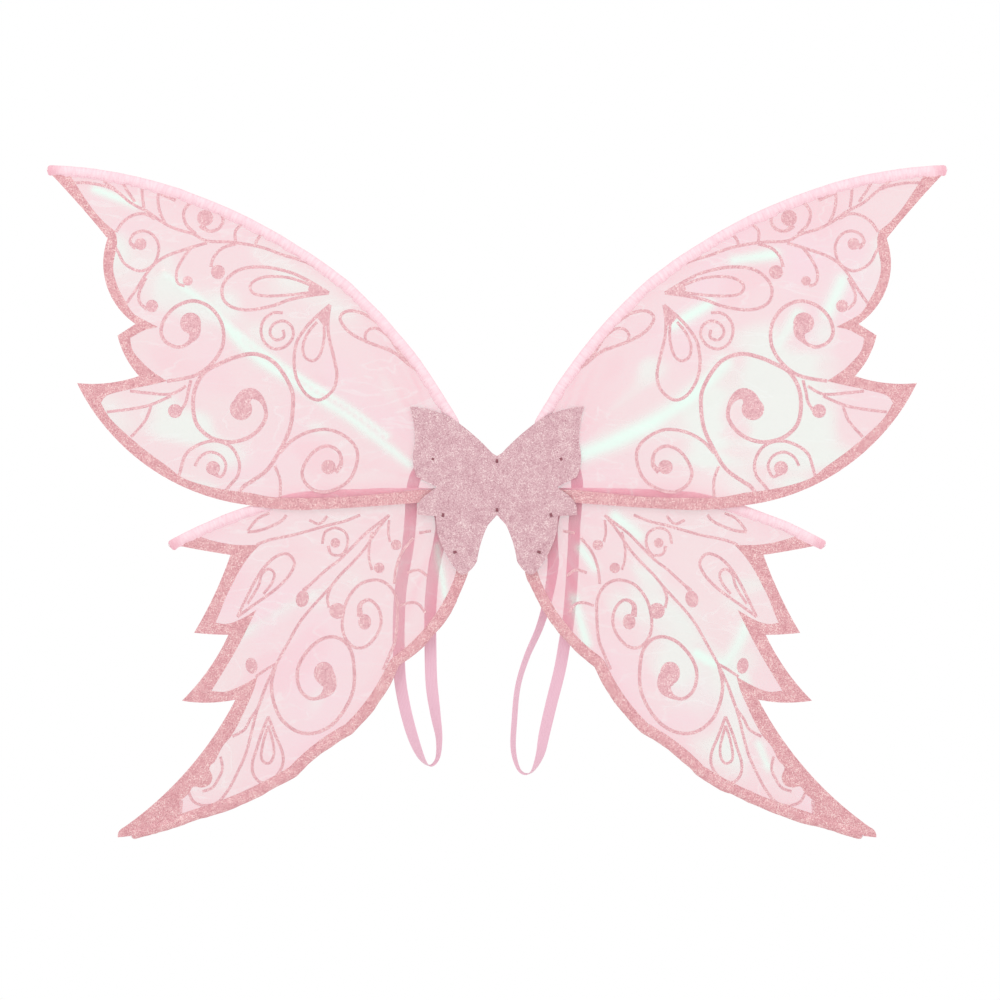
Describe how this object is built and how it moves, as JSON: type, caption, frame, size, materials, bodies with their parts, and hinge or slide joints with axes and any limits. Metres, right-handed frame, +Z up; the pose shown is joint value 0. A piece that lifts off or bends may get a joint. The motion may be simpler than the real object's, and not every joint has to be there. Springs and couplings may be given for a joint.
{
  "type": "fairy wings",
  "caption": "Dress-up fairy wings: translucent film wings on covered wires, glitter scroll print, a folding butterfly centre patch and elastic arm loops behind.",
  "frame": {"origin": "centre of the rear face of the patch's centre strip, which rests on the wearer's back", "axes": "+X to the right of someone facing the front of the wings, +Y out of the rear face towards the wearer's back, +Z up"},
  "size_m": [0.9008, 0.0321, 0.6755],
  "materials": {
    "wing_film": "thin translucent pearl film, soft gloss",
    "glitter_print": "fine dusty-rose glitter print",
    "glitter_patch": "glitter-faced soft sheet",
    "sleeve_fabric": "thin satin ribbon casing",
    "elastic": "ribbed woven elastic",
    "steel_wire": "drawn spring wire",
    "cap_plastic": "moulded soft plastic",
    "binding_tape": "matt cloth-backed tape",
    "stiffener_board": "plain card",
    "sewing_thread": "sewing thread"
  },
  "bodies": {
    "spine": {"front_patch_centre": "glitter_patch", "back_patch_centre": "glitter_patch", "centre_stiffener": "stiffener_board", "centre_stitches": "sewing_thread"},
    "right_wing": {"right_front_patch": "glitter_patch", "right_back_patch": "glitter_patch", "right_upper_film": "wing_film", "right_lower_film": "wing_film", "right_upper_glitter": "glitter_print", "right_lower_glitter": "glitter_print", "right_leading_wire": "steel_wire", "right_middle_wire": "steel_wire", "right_tail_wire": "steel_wire", "right_leading_sleeve": "sleeve_fabric", "right_middle_sleeve": "sleeve_fabric", "right_tail_sleeve": "sleeve_fabric", "right_wire_caps": "cap_plastic", "right_wire_binding": "binding_tape", "right_patch_stitches": "sewing_thread", "right_strap_ends": "elastic"},
    "left_wing": {"left_front_patch": "glitter_patch", "left_back_patch": "glitter_patch", "left_upper_film": "wing_film", "left_lower_film": "wing_film", "left_upper_glitter": "glitter_print", "left_lower_glitter": "glitter_print", "left_leading_wire": "steel_wire", "left_middle_wire": "steel_wire", "left_tail_wire": "steel_wire", "left_leading_sleeve": "sleeve_fabric", "left_middle_sleeve": "sleeve_fabric", "left_tail_sleeve": "sleeve_fabric", "left_wire_caps": "cap_plastic", "left_wire_binding": "binding_tape", "left_patch_stitches": "sewing_thread", "left_strap_ends": "elastic"},
    "right_loop": {"right_arm_loop": "elastic"},
    "left_loop": {"left_arm_loop": "elastic"}
  },
  "joints": [
    {"name": "right_wing_fold", "type": "hinge", "parent": "spine", "child": "right_wing", "pos_m": [0.015, -0.0114, 0], "axis": [0, 0, -1], "range_deg": [-12, 85]},
    {"name": "left_wing_fold", "type": "hinge", "parent": "spine", "child": "left_wing", "pos_m": [-0.015, -0.0114, 0], "axis": [0, 0, 1], "range_deg": [-12, 85]},
    {"name": "right_loop_swing", "type": "hinge", "parent": "right_wing", "child": "right_loop", "pos_m": [0.058, 0.0072, -0.026], "axis": [0.1859, 0, 0.9826], "range_deg": [0, 90]},
    {"name": "left_loop_swing", "type": "hinge", "parent": "left_wing", "child": "left_loop", "pos_m": [-0.058, 0.0072, -0.026], "axis": [0.1859, 0, -0.9826], "range_deg": [0, 90]}
  ]
}
